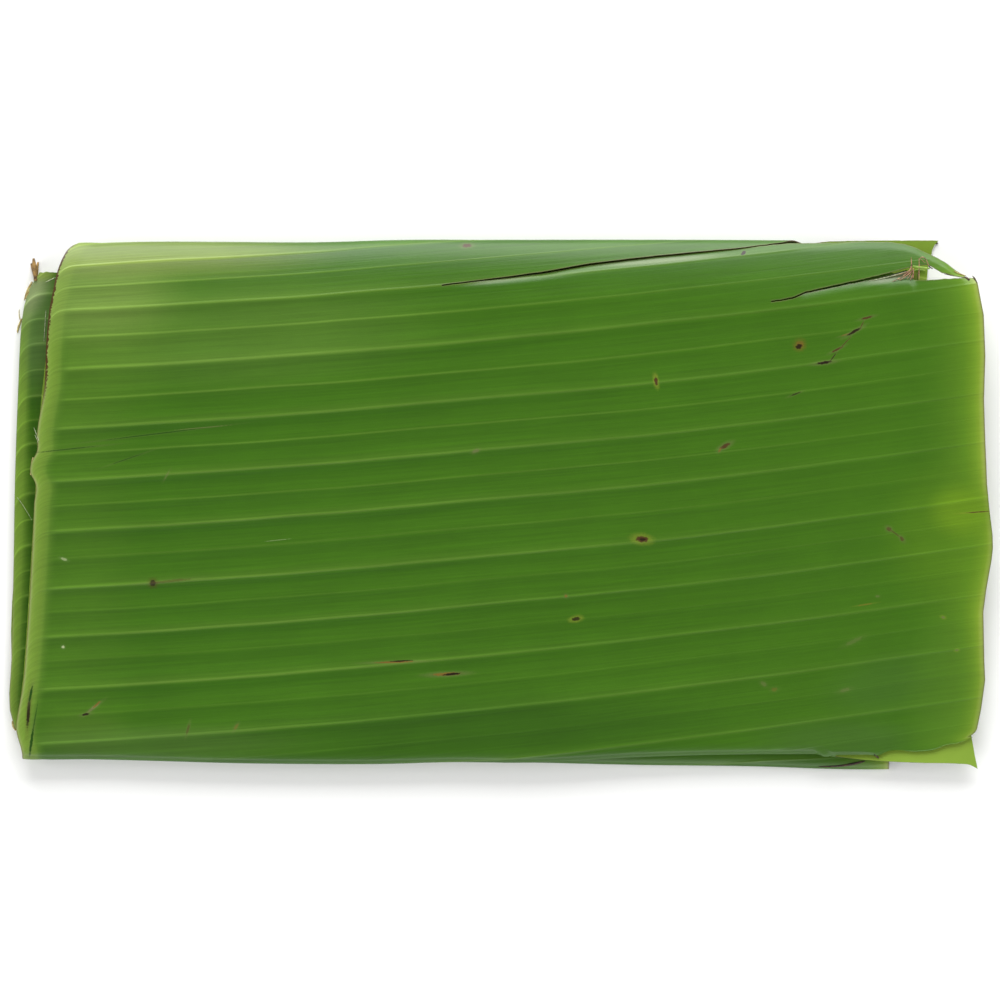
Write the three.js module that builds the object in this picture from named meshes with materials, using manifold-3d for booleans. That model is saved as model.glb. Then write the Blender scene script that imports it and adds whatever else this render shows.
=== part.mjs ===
// A banana leaf folded into a flat pack: half of one leaf blade, cut off its midrib, closed like a gate
// and then folded in half, so that four sheets lie on each other.
// Millimetres, +Z up, +X along the veins from the midrib side to the margin, origin under the middle.
import * as THREE from "three";
import { mergeVertices } from "three/addons/utils/BufferGeometryUtils.js";
import Module from "manifold-3d";

const wasm = await Module();
wasm.setup();

const { lerp, smoothstep } = THREE.MathUtils;

// ---- driving sizes ----
const bladeThickness = 0.4;
const spineY = 80.9; // outermost line of the big fold that holds the four sheets
const spineTopReach = 21; // over which the top sheet rounds down into the big fold
const spineReach = 8; // and over which the bottom sheet rounds up into it
const frontY = -77; // outermost line of the upper front fold
const lowerFrontY = -79; // outermost line of the lower front fold
const frontReach = 1.6; // how far a pressed front fold bulges
const innerEndY = 71; // free end of the inner sheet, close inside the spine
const underEndY = 66; // free end of the sheet under the top one

// heights of the sheets' middle surfaces
const bottomZ = bladeThickness / 2;
const innerFrontZ = 2.8;
const innerBackZ = 3.4;
const underFrontZ = 5.6;
const underBackZ = 6.6;
const topFrontZ = 8.3;
const topBackZ = 12.5;
const rippleHeight = 0.3;

// where the straight sheets end at the big fold
const topSpineStartY = spineY - spineTopReach;
const bottomSpineStartY = spineY - spineReach;

// The big fold and the upper front fold are torn open towards the margin.
const spineTornFromX = 86;
const spineFlapY = 80.4;
const spineFlapDroop = 2.8;
const frontTornFromX = 104;
const frontFlapY = -80.6;
const frontLipY = -76.2;
const frontLipRightY = -71;
const tearRun = 12; // length over which a fold opens up beside its tear

// cell counts along the veins and along each stretch of the folded blade
const columns = 26;
const sheetCells = 11;
const topSheetCells = 15;
const frontFoldCells = 5;
const spineCells = 13;

// Outlines of the four sheets as [y, x] pairs: the cut edge on the left, the natural margin on the right.
const topSheet = {
  left: [
    [-77, -146.6],
    [-68, -148.6],
    [-57, -146.9],
    [-17, -143.8],
    [6, -142.8],
    [10, -144.1],
    [17, -142.2],
    [50, -139.2],
    [66, -137.7],
    [74, -135.6],
    [81, -131.5],
  ],
  right: [
    [-77, 141],
    [-71, 143.2],
    [-69, 145.4],
    [-54, 147.7],
    [-33, 147.2],
    [-13, 150.2],
    [6, 148.3],
    [32, 147.3],
    [58, 147.2],
    [69.5, 144.8],
    [81, 141],
  ],
};
const underSheet = {
  left: [
    [-77, -146.6],
    [-68, -147.6],
    [0, -142.6],
    [66, -137.5],
  ],
  right: [
    [-81, 145.7],
    [-71, 143.2],
    [0, 141],
    [66, 134],
  ],
};
const bottomSheet = {
  left: [
    [-80, -145.5],
    [-68, -148.6],
    [0, -147.6],
    [66, -142],
    [81, -131.5],
  ],
  right: [
    [-80, 118.4],
    [0, 127],
    [70, 130.4],
    [81, 133.2],
  ],
};
const innerSheet = {
  left: [
    [-80, -145.5],
    [-67, -150.2],
    [-41, -150.2],
    [23, -148.7],
    [53, -147.4],
    [63, -146],
    [71, -142.5],
  ],
  right: [
    [-80, 118.4],
    [0, 123],
    [71, 124],
  ],
};

// The long tear across the top sheet, from its closed point to the torn fold.
const longTear = new THREE.SplineCurve([
  new THREE.Vector2(-18.7, 67),
  new THREE.Vector2(13.2, 71),
  new THREE.Vector2(45.3, 76),
  new THREE.Vector2(72, 78.6),
  new THREE.Vector2(88, 81.7),
]);
const longTearWidth = 0.9;
const longTearSteps = 8;
const longTearFloorZ = 7.4;

// The open gap below the torn strip as [x, y] pairs: along its lower lip to the margin, round the
// strip's outer outline to its tip, and back along the strip's underside.
const tornGap = [
  [81.4, 62],
  [93, 64.6],
  [109.5, 68],
  [137.7, 69.2],
  [152, 69.6],
  [152, 84],
  [112, 84],
  [112, 80.4],
  [124.8, 79.4],
  [131.3, 76.5],
  [141.5, 69.9],
  [136, 71],
  [130.7, 73.9],
  [123.9, 72.2],
  [93, 65.3],
];
const tornGapFloorZ = 8.6;
const cutterTopZ = 20;

// The forked stub of midrib fibre on the inner sheet's back corner, as [x, y] pairs.
const stub = [
  [-143.6, 67.6],
  [-142.4, 67.9],
  [-142.2, 70.5],
  [-141.9, 74.2],
  [-142.5, 74],
  [-142.9, 72.6],
  [-143.2, 75.4],
  [-143.9, 75.2],
  [-144.1, 72.8],
  [-144.6, 73.8],
  [-144.9, 73.4],
  [-143.9, 70.8],
];
const stubZ = 3.1;
const stubThickness = 0.9;

// x of an outline at height y, straight between its points
function edgeAt(outline, y) {
  const next = outline.findIndex(([pointY]) => pointY >= y);
  if (next === 0) return outline[0][1];
  if (next < 0) return outline.at(-1)[1];
  const [y0, x0] = outline[next - 1];
  const [y1, x1] = outline[next];
  return lerp(x0, x1, (y - y0) / (y1 - y0));
}

// low waves of the three free sheets: the bottom sheet lies flat
function ripple(x, y, phase) {
  return rippleHeight * Math.sin(x / 31 + phase) * Math.cos(y / 27 + phase);
}

function innerZ(x, y) {
  return lerp(innerFrontZ, innerBackZ, smoothstep(y, lowerFrontY, innerEndY)) + ripple(x, y, 1) / 2;
}

function underZ(x, y) {
  return lerp(underFrontZ, underBackZ, smoothstep(y, frontY, underEndY)) + ripple(x, y, 2);
}

function topZ(x, y) {
  return lerp(topFrontZ, topBackZ, smoothstep(y, -40, topSpineStartY)) + ripple(x, y, 2);
}

// The upper front fold bows out in its middle, and the lower one creeps out towards the margin.
function frontCentreY(x) {
  return frontY + frontReach - 2.2 * smoothstep(x, -150, -50) * (1 - smoothstep(x, -10, 90));
}

function lowerFrontCentreY(x) {
  return lowerFrontY + frontReach - 1.7 * smoothstep(x, 20, 100);
}

// A rounded fold between two heights: turn runs from 0 at the start height to 1 at the end height.
function foldPoint(turn, centreY, reach, startZ, endZ) {
  const angle = turn * Math.PI;
  return {
    y: centreY + reach * Math.sin(angle),
    z: lerp(startZ, endZ, (1 - Math.cos(angle)) / 2),
  };
}

// A fold that is torn open beyond some x: there its two halves run on as flat flaps.
function tornFoldPoint(closed, flap, x, tornFromX) {
  const open = smoothstep(x, tornFromX - tearRun, tornFromX);
  return { y: lerp(closed.y, flap.y, open), z: lerp(closed.z, flap.z, open) };
}

// share of the way from a fold's start or end to the edge of the flap on that side
function flapShare(turn, cells) {
  return (Math.min(turn, 1 - turn) * cells * 2) / (cells - 1);
}

function frontFold(turn, x) {
  const y = frontCentreY(x);
  const closed = foldPoint(turn, y, -frontReach, underZ(x, y), topZ(x, y));
  const share = flapShare(turn, frontFoldCells);
  const lipY = lerp(frontLipY, frontLipRightY, smoothstep(x, frontTornFromX, topSheet.right[1][1]));
  const underFlap = { y: lerp(y, frontFlapY, share), z: underZ(x, y) };
  const topFlap = { y: lerp(y, lipY, share), z: topZ(x, y) };
  return tornFoldPoint(closed, turn < 0.5 ? underFlap : topFlap, x, frontTornFromX);
}

function spineFold(turn, x) {
  const startZ = topZ(x, topSpineStartY);
  const reach = turn < 0.5 ? spineTopReach : spineReach;
  const closed = foldPoint(turn, spineY - reach, reach, startZ, bottomZ);
  const share = flapShare(turn, spineCells);
  const topFlap = {
    y: lerp(topSpineStartY, spineFlapY, share),
    z: startZ - spineFlapDroop * share ** 2,
  };
  const bottomFlap = { y: lerp(bottomSpineStartY, spineFlapY, share), z: bottomZ };
  return tornFoldPoint(closed, turn < 0.5 ? topFlap : bottomFlap, x, spineTornFromX);
}

function lowerFrontFold(turn, x) {
  const y = lowerFrontCentreY(x);
  return foldPoint(turn, y, -frontReach, bottomZ, innerZ(x, y));
}

// A flat stretch from startY to endY at the height that heightAt gives.
function sheetPoint(share, x, startY, endY, heightAt) {
  const y = lerp(startY, endY, share);
  return { y, z: heightAt(x, y) };
}

// The folded blade from the free end under the top sheet to the inner free end. Each stretch goes from
// one sheet to the next, and its at() gives y and z at a share of its length, for one x.
const stretches = [
  {
    cells: sheetCells,
    from: underSheet,
    to: underSheet,
    at: (share, x) => sheetPoint(share, x, underEndY, frontCentreY(x), underZ),
  },
  {
    cells: frontFoldCells,
    from: underSheet,
    to: topSheet,
    tornFromX: frontTornFromX,
    at: frontFold,
  },
  {
    cells: topSheetCells,
    from: topSheet,
    to: topSheet,
    at: (share, x) => sheetPoint(share, x, frontCentreY(x), topSpineStartY, topZ),
  },
  {
    cells: spineCells,
    from: topSheet,
    to: bottomSheet,
    tornFromX: spineTornFromX,
    at: spineFold,
  },
  {
    cells: sheetCells,
    from: bottomSheet,
    to: bottomSheet,
    at: (share, x) => sheetPoint(share, x, bottomSpineStartY, lowerFrontCentreY(x), () => bottomZ),
  },
  {
    cells: frontFoldCells,
    from: bottomSheet,
    to: innerSheet,
    at: lowerFrontFold,
  },
  {
    cells: sheetCells,
    from: innerSheet,
    to: innerSheet,
    at: (share, x) => sheetPoint(share, x, lowerFrontCentreY(x), innerEndY, innerZ),
  },
];

// One row of middle-surface points across the blade, from the cut edge to the margin.
function rowPoints(stretch, share) {
  const sheet = share < 0.5 ? stretch.from : stretch.to;
  const points = [];
  for (let j = 0; j <= columns; j++) {
    let x = lerp(sheet.left[0][1], sheet.right[0][1], j / columns);
    // the outline gives x at a y that depends on x itself, so a second pass settles it
    for (let pass = 0; pass < 2; pass++) {
      const { y } = stretch.at(share, x);
      x = lerp(edgeAt(sheet.left, y), edgeAt(sheet.right, y), j / columns);
    }
    const { y, z } = stretch.at(share, x);
    points.push(new THREE.Vector3(x, y, z));
  }
  return points;
}

// All rows, each with the x beyond which the cell after it is torn away.
function bladeRows() {
  const rows = [];
  stretches.forEach((stretch, index) => {
    const middleCell = (stretch.cells - 1) / 2;
    for (let i = index === 0 ? 0 : 1; i <= stretch.cells; i++) {
      const torn = stretch.tornFromX !== undefined && i === middleCell;
      rows.push({
        points: rowPoints(stretch, i / stretch.cells),
        tornFromX: torn ? stretch.tornFromX : Infinity,
      });
    }
  });
  return rows;
}

// The rows thickened to both sides and closed along every free and torn edge.
function bladeGeometry(rows) {
  const lastRow = rows.length - 1;
  const holds = (i, j) =>
    i >= 0 && i < lastRow && j >= 0 && j < columns && rows[i].points[j].x < rows[i].tornFromX;
  const joined = (i, j) => holds(i, j) || holds(i, j - 1);
  const pointAt = (i, j) => rows[i].points[j];
  const positions = [];
  for (let i = 0; i <= lastRow; i++) {
    for (let j = 0; j <= columns; j++) {
      const before = pointAt(joined(i - 1, j) ? i - 1 : i, j);
      const after = pointAt(joined(i, j) ? i + 1 : i, j);
      const along = new THREE.Vector3().subVectors(after, before);
      const left = pointAt(i, Math.max(j - 1, 0));
      const right = pointAt(i, Math.min(j + 1, columns));
      const across = new THREE.Vector3().subVectors(right, left);
      const offset = across.cross(along).setLength(bladeThickness / 2);
      const upper = pointAt(i, j).clone().add(offset);
      const lower = pointAt(i, j).clone().sub(offset);
      positions.push(...upper.toArray(), ...lower.toArray());
    }
  }

  const indices = [];
  const addQuad = (a, b, c, d) => indices.push(a, b, c, a, c, d);
  const upperIndex = (i, j) => 2 * (i * (columns + 1) + j);
  for (let i = 0; i < lastRow; i++) {
    for (let j = 0; j < columns; j++) {
      if (!holds(i, j)) continue;
      const corners = [
        upperIndex(i, j),
        upperIndex(i, j + 1),
        upperIndex(i + 1, j + 1),
        upperIndex(i + 1, j),
      ];
      const neighbours = [
        [i - 1, j],
        [i, j + 1],
        [i + 1, j],
        [i, j - 1],
      ];
      const [a, b, c, d] = corners;
      addQuad(a, b, c, d);
      addQuad(d + 1, c + 1, b + 1, a + 1);
      neighbours.forEach((neighbour, side) => {
        if (holds(...neighbour)) return;
        const start = corners[side];
        const end = corners[(side + 1) % corners.length];
        addQuad(end, start, start + 1, end + 1);
      });
    }
  }
  const geometry = new THREE.BufferGeometry();
  geometry.setAttribute("position", new THREE.Float32BufferAttribute(positions, 3));
  geometry.setIndex(indices);
  return geometry;
}

// An outline stood up from floorZ to the given height above it.
function uprightSolid(outline, floorZ, depth) {
  const shape = new THREE.Shape(outline);
  const geometry = new THREE.ExtrudeGeometry(shape, { depth, bevelEnabled: false });
  return toSolid(geometry.translate(0, 0, floorZ));
}

// cuts everything inside the outline from floorZ past the top of the pack
function tearCutter(outline, floorZ) {
  return uprightSolid(outline, floorZ, cutterTopZ - floorZ);
}

// A slit that opens evenly along a curve, from nothing to the full width at its end.
function slitOutline(curve, width, steps) {
  const upper = [];
  const lower = [];
  for (let i = 1; i <= steps; i++) {
    const share = i / steps;
    const point = curve.getPoint(share);
    const tangent = curve.getTangent(share);
    const side = new THREE.Vector2(-tangent.y, tangent.x).multiplyScalar((width * share) / 2);
    upper.push(point.clone().add(side));
    lower.unshift(point.clone().sub(side));
  }
  return [curve.getPoint(0), ...upper, ...lower];
}

function toPoint([x, y]) {
  return new THREE.Vector2(x, y);
}

function toSolid(geometry) {
  const bare = geometry.clone();
  bare.deleteAttribute("normal");
  bare.deleteAttribute("uv");
  const merged = mergeVertices(bare, 1e-4);
  return new wasm.Manifold(
    new wasm.Mesh({
      numProp: 3,
      vertProperties: merged.attributes.position.array,
      triVerts: new Uint32Array(merged.index.array),
    }),
  );
}

function toGeometry(solid) {
  const { vertProperties, triVerts } = solid.getMesh();
  const geometry = new THREE.BufferGeometry();
  geometry.setAttribute("position", new THREE.BufferAttribute(vertProperties, 3));
  geometry.setIndex(new THREE.BufferAttribute(triVerts, 1));
  return geometry;
}

// moves the geometry so that it stands on z = 0 with its box centred over the origin
function standOnOrigin(geometry) {
  geometry.computeBoundingBox();
  const box = geometry.boundingBox;
  const middle = box.getCenter(new THREE.Vector3());
  return geometry.translate(-middle.x, -middle.y, -box.min.z);
}

function bananaLeaf() {
  const slit = slitOutline(longTear, longTearWidth, longTearSteps);
  const gap = tornGap.map(toPoint);
  const blade = toSolid(bladeGeometry(bladeRows()))
    .subtract(tearCutter(slit, longTearFloorZ))
    .subtract(tearCutter(gap, tornGapFloorZ))
    .add(uprightSolid(stub.map(toPoint), stubZ, stubThickness));
  const material = new THREE.MeshStandardMaterial({
    color: "#48741f",
    roughness: 0.45,
    metalness: 0,
  });
  const mesh = new THREE.Mesh(standOnOrigin(toGeometry(blade)), material);
  mesh.name = "banana_leaf";
  return mesh;
}

const pack = new THREE.Group();
pack.add(bananaLeaf());

export default pack;
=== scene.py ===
import math
import bpy
import numpy as np
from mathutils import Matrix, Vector, noise


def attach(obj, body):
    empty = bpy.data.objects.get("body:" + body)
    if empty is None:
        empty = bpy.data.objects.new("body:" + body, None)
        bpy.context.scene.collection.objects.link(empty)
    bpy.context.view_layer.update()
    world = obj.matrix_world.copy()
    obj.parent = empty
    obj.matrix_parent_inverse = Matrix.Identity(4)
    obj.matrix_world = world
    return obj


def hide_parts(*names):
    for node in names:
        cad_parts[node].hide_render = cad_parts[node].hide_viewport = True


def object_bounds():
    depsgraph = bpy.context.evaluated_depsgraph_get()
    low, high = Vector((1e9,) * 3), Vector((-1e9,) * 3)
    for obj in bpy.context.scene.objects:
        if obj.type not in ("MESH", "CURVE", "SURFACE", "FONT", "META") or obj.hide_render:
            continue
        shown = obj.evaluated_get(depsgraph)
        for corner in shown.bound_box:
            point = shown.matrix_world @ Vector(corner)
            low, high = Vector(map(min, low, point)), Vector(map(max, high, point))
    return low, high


# A banana leaf: half a blade folded into a flat pack of four sheets, glossy side out.
# Lengths in the dictionaries are millimetres, in the part's own frame.

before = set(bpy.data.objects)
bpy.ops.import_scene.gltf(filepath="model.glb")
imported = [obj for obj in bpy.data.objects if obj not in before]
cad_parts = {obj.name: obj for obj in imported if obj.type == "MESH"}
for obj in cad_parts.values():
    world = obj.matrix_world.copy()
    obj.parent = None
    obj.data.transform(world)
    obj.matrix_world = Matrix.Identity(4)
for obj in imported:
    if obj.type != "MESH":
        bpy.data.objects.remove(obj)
cadLow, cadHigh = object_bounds()
mm = 0.001
backY = cadHigh.y / mm  # the big fold
frontY = cadLow.y / mm  # the lowest front fold
cutX = cadLow.x / mm  # the midrib side
marginX = cadHigh.x / mm  # the natural margin
crownZ = cadHigh.z / mm
print("frame loaded, pack is", [round(v / mm, 1) for v in cadHigh - cadLow], "mm")


def smoothStep(low, high, value):
    share = np.clip((value - low) / (high - low), 0, 1)
    return share * share * (3 - 2 * share)


def mix(a, b, share):
    return a + (b - a) * share


def smoothLine(points):
    # a curve through [place, value] pairs, as a function of place
    places, values = np.array(sorted(points), float).T
    slopes = np.gradient(values, places)

    def at(place):
        place = np.clip(place, places[0], places[-1])
        i = np.clip(np.searchsorted(places, place) - 1, 0, len(places) - 2)
        run = places[i + 1] - places[i]
        t = (place - places[i]) / run
        a, b = values[i], values[i + 1]
        hermite = (2 * t**3 - 3 * t**2 + 1) * a + (3 * t**2 - 2 * t**3) * b
        return hermite + run * ((t**3 - 2 * t**2 + t) * slopes[i] + (t**3 - t**2) * slopes[i + 1])

    return at


class Round:
    # a quarter of an ellipse, walked at even steps from its flat end
    def __init__(self, reach, drop):
        self.reach, self.drop = reach, drop
        self.turns = np.linspace(0, math.pi / 2, 400)
        steps = np.hypot(np.diff(reach * np.sin(self.turns)), np.diff(drop * np.cos(self.turns)))
        self.run = np.concatenate([[0], np.cumsum(steps)])
        self.length = self.run[-1]

    def at(self, walked):
        turn = np.interp(walked, self.run, self.turns)
        return self.reach * np.sin(turn), 1 - np.cos(turn)

    def walkedTo(self, reached):
        return np.interp(np.clip(reached, 0, self.reach), self.reach * np.sin(self.turns), self.run)


# the big fold's upper and lower quarter: how far back each reaches, and half the fold's height
crownTop = Round(21, 6.1)
crownBottom = Round(8, 6.1)

# the folded shape
folds = {
    "crownY": backY - crownTop.reach,  # where the top sheet starts to round over
    "lowerCrownY": backY - crownBottom.reach,
    "crownZ": crownZ - 0.3,
    "bottomZ": 0.25,
    "frontReachTop": 4.5,
    "frontReachUnder": 1.6,
    "lowerFrontReachInner": 4.0,
    "lowerFrontReachBottom": 1.6,
    "innerZ": (2.9, 3.5),  # heights at the front and at the back
    "underZ": (5.6, 6.7),
    "topFrontZ": 8.4,
    "cornerDrop": 1.7,  # the torn front corner lies down on the sheet below
    "ripple": 0.35,
    "underEndY": backY - 15,
    "innerEndY": backY - 9.8,
    "spineTornX": 86,
    "frontTornX": 102,
    "flapDroop": 3.2,
}
# how far the two front folds stand back from the frontmost line, from the cut side to the margin
frontLine = smoothLine([
    [-150, 3.6], [-143, 3.0], [-126, 2.9], [-106, 2.4], [-85, 1.8], [-65, 1.5], [-35, 1.5],
    [-17, 2.0], [10, 1.9], [42, 3.6], [73, 4.4], [90, 4.5], [116, 4.4], [150, 4.4],
])
# how far the big fold stands back from its furthest line
backLine = smoothLine([
    [-150, 1.1], [-127, 1.1], [-118, 0.8], [-105, 0.6], [-85, 0.7], [-55, 0.75], [-35, 0.15], [0, 0.05],
    [70, 0.1], [88, 0.2], [100, 0.2], [110, 0.0], [150, 0.0],
])
lowerFrontLine = smoothLine([
    [-150, 3.6], [-120, 3.0], [-40, 2.4], [10, 2.0], [42, 1.3], [80, 0.8], [100, 0.1], [150, 0.1],
])
# the torn edges of the upper front fold, on the top sheet and on the one under it
frontLip = smoothLine([
    [96, -76.7], [112, -76.5], [115.7, -76.6], [116.8, -76.0], [128, -75.6], [132.2, -75.1], [136, -73.6],
    [140, -72.9], [143.5, -71.3],
])
frontFlap = smoothLine([
    [96, -76.8], [100, -77.0], [111.4, -78.2], [118.7, -78.7], [128, -79.1], [140, -79.4], [143.2, -79.7],
    [145.6, -80.9],
])

frontTop = Round(folds["frontReachTop"], 1.4)
frontUnder = Round(folds["frontReachUnder"], 1.4)
lowerInner = Round(folds["lowerFrontReachInner"], 1.35)
lowerBottom = Round(folds["lowerFrontReachBottom"], 1.35)

# places along the unfolded blade: the same as y on the top sheet
crownStart = folds["crownY"]
crownEdge = crownStart + crownTop.length
crownEnd = crownEdge + crownBottom.length


def frontOpen(x):
    return smoothStep(folds["frontTornX"] - 7, folds["frontTornX"], x)


def topFrontY(x):
    closed = frontY + frontLine(x) + frontTop.reach
    return mix(closed, frontLip(x) + 0.8, frontOpen(x))


def underFrontY(x):
    return frontY + frontLine(x) + frontUnder.reach


def innerFrontY(x):
    return frontY + lowerFrontLine(x) + lowerInner.reach


def bottomFrontY(x):
    return frontY + lowerFrontLine(x) + lowerBottom.reach


def frontEdge(x):
    return topFrontY(x) - frontTop.length


def underStart(x):
    return frontEdge(x) - frontUnder.length


def lowerFrontStart(x):
    return crownEnd + folds["lowerCrownY"] - bottomFrontY(x)


def lowerFrontEdge(x):
    return lowerFrontStart(x) + lowerBottom.length


def innerStart(x):
    return lowerFrontEdge(x) + lowerInner.length


def spineOpen(x):
    return smoothStep(45, folds["spineTornX"] + 2, x)


def crownReach(s, opened):
    # how far back the top sheet gets past crownStart: round the fold, or straight on where it is torn
    return mix(crownTop.at(s - crownStart)[0], s - crownStart, opened)


def alongTop(y, opened=0.0):
    # place on the blade of a point seen on the top sheet
    s = crownStart + mix(crownTop.walkedTo(y - crownStart), y - crownStart, opened)
    for settle in range(8):
        s = s + y - crownStart - crownReach(s, opened)
    return np.where(y < crownStart, y, s)


def ripple(x, y, phase):
    slow = np.sin(x / 31 + phase) * np.cos(y / 27 + phase)
    return folds["ripple"] * (slow + 0.5 * np.sin(x / 17 + y / 23 + 2 * phase))


def lift(x, y, ends, phase):
    return mix(*ends, smoothStep(frontY, backY, y)) + ripple(x, y, phase)


def topHeight(x, y):
    rise = smoothStep(-50, crownStart, y)
    corner = folds["cornerDrop"] * smoothStep(95, 125, x) * smoothStep(-35, -68, y)
    return mix(folds["topFrontZ"], folds["crownZ"], rise) + ripple(x, y, 2) * (1 - 0.7 * rise) - corner


def foldBlade(x, s):
    # where the point x, s of the unfolded blade lies once folded: y and height
    flat = np.zeros_like(x)
    y, z = flat.copy(), flat.copy()
    bottomZ = folds["bottomZ"]

    # top sheet and the two quarters of the big fold
    on = (s >= topFrontY(x)) & (s <= crownStart)
    y[on], z[on] = s[on], topHeight(x, s)[on]

    crownHeight = topHeight(x, flat + crownStart)
    half = (crownHeight - bottomZ) / 2
    on = (s > crownStart) & (s <= crownEdge)
    drop = crownTop.at(s - crownStart)[1]
    share = (s - crownStart) / 20
    opened = spineOpen(x) * (s < longMiddle(x))
    y[on] = (crownStart + crownReach(s, opened) * (1 - backLine(x) / crownTop.reach))[on]
    z[on] = mix(crownHeight - half * drop, crownHeight - folds["flapDroop"] * share**2, opened)[on]

    on = (s > crownEdge) & (s <= crownEnd)
    reach, drop = crownBottom.at(crownEnd - s)
    torn = smoothStep(folds["spineTornX"] + 7, folds["spineTornX"] + 15, x)
    reach = mix(reach, crownEnd - s, torn)
    y[on] = (folds["lowerCrownY"] + reach * (1 - backLine(x) / crownBottom.reach))[on]
    z[on] = mix(bottomZ + half * drop, bottomZ + 0.06 * (crownEnd - s), torn)[on]

    # bottom sheet, lower front fold, inner sheet
    on = (s > crownEnd) & (s <= lowerFrontStart(x))
    y[on], z[on] = (folds["lowerCrownY"] + crownEnd - s)[on], bottomZ

    innerZ = lift(x, innerFrontY(x), folds["innerZ"], 1)
    half = (innerZ - bottomZ) / 2
    on = (s > lowerFrontStart(x)) & (s <= lowerFrontEdge(x))
    reach, drop = lowerBottom.at(s - lowerFrontStart(x))
    y[on], z[on] = (bottomFrontY(x) - reach)[on], (bottomZ + half * drop)[on]

    on = (s > lowerFrontEdge(x)) & (s <= innerStart(x))
    reach, drop = lowerInner.at(innerStart(x) - s)
    y[on], z[on] = (innerFrontY(x) - reach)[on], (innerZ - half * drop)[on]

    on = s > innerStart(x)
    innerY = innerFrontY(x) + s - innerStart(x)
    y[on], z[on] = innerY[on], lift(x, innerY, folds["innerZ"], 1)[on]

    # upper front fold and the sheet under the top one
    torn = frontOpen(x)
    topZ = topHeight(x, topFrontY(x))
    underZ = lift(x, underFrontY(x), folds["underZ"], 2)
    half = (topZ - underZ) / 2
    on = (s < topFrontY(x)) & (s >= frontEdge(x))
    reach, drop = frontTop.at(topFrontY(x) - s)
    share = np.clip((topFrontY(x) - s) / (0.7 * frontTop.length), 0, 1)
    y[on] = mix(topFrontY(x) - reach, mix(topFrontY(x), frontLip(x), share), torn)[on]
    sag = 0.05 + 0.6 * smoothStep(122, 104, x)
    z[on] = mix(topZ - half * drop, topZ - sag * share, torn)[on]

    on = (s < frontEdge(x)) & (s >= underStart(x))
    reach, drop = frontUnder.at(s - underStart(x))
    share = np.clip((s - underStart(x)) / (0.7 * frontUnder.length), 0, 1)
    y[on] = mix(underFrontY(x) - reach, mix(underFrontY(x), frontFlap(x), share), torn)[on]
    z[on] = mix(underZ + half * drop, underZ + 0.5 * share, torn)[on]

    on = s < underStart(x)
    underY = underFrontY(x) + underStart(x) - s
    y[on], z[on] = underY[on], lift(x, underY, folds["underZ"], 2)[on]
    return y, z


# outlines of the four sheets, as [y on that sheet, x] pairs
outlines = {
    "topCut": [
        [-77, -146.8], [-68, -148.7], [-63, -148.0], [-57, -146.9], [-41, -145.4], [-17, -143.9],
        [0, -143.1], [7, -142.9], [9.5, -144.2], [13, -143.9], [16, -142.3], [21, -142.2],
        [36, -139.9], [50, -139.3], [60, -138.3], [66, -137.2], [71.5, -136.1], [75.3, -134.8],
        [77.9, -133.5], [79.5, -132.2], [80.3, -131.0], [80.8, -129.6],
    ],
    "underCut": [
        [66, -137.4], [50, -139.2], [35, -140.9], [0, -143.2], [-50, -146.4], [-68, -147.8], [-76, -146.8],
    ],
    "bottomCut": [
        [80.8, -129.6], [79, -130.5], [76, -132], [70, -135.5], [50, -141.5], [0, -147.6], [-60, -149],
        [-77, -145.2],
    ],
    "innerCut": [
        [-77, -145.2], [-70, -148.6], [-66, -150.1], [-48, -150.3], [-41, -150.1], [-17, -149.6],
        [7, -149.2], [23, -148.7], [38, -148.1], [53, -147.4], [58, -146.9], [62.6, -146.0],
        [67.5, -144.3], [69.5, -143.3], [71.2, -141.6],
    ],
    "topMargin": [
        [-72, 142.8], [-71, 143.4], [-69.3, 145.3], [-62.6, 146.7], [-53.7, 147.9], [-47.6, 147.6],
        [-33, 147.3], [-26, 148.2], [-17, 149.8], [-13.3, 150.2], [-9.3, 150.1], [-2.2, 149.2],
        [6, 148.4], [20, 147.8], [32, 147.4], [45.7, 147.8], [58, 147.3], [62.6, 146.4], [68, 145.4],
        [69.5, 144.7],
    ],
    "underMargin": [[66, 134], [30, 139.5], [0, 141], [-50, 142.4], [-71.4, 143.2], [-73.6, 143.8]],
    "flapMargin": [[0.3, 144.7], [1, 145.6]],  # share of the way over the torn flap in front, x
    "bottomMargin": [
        [80.6, 133.6], [79.8, 132.8], [78.2, 131.9], [76.5, 131.6], [72.4, 130.5], [40, 128], [0, 125],
        [-60, 119.5], [-77, 118.6],
    ],
    "innerMargin": [[-77, 118.6], [-60, 119.4], [0, 123], [50, 126.5], [71.2, 127.6]],
}


def bladeOutline(side):
    # the four sheets' edges joined into one line along the blade, at a middle x for the fold places
    x = {"Cut": cutX, "Margin": marginX}[side]
    points = []
    for y, edge in outlines["under" + side]:
        points.append([underStart(x) - (y - underFrontY(x)), edge])
    for y, edge in outlines["top" + side]:
        points.append([float(alongTop(np.float64(y), spineOpen(x))), edge])
    for y, edge in outlines["bottom" + side]:
        points.append([crownEnd + folds["lowerCrownY"] - y, edge])
    for y, edge in outlines["inner" + side]:
        points.append([innerStart(x) + (y - innerFrontY(x)), edge])
    if side == "Margin":
        flap = 0.7 * frontUnder.length
        points += [[underStart(x) + share * flap, edge] for share, edge in outlines["flapMargin"]]
    points.sort()
    kept = [points[0]]
    for point in points[1:]:
        if point[0] > kept[-1][0] + 0.3:
            kept.append(point)
    return kept


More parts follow.
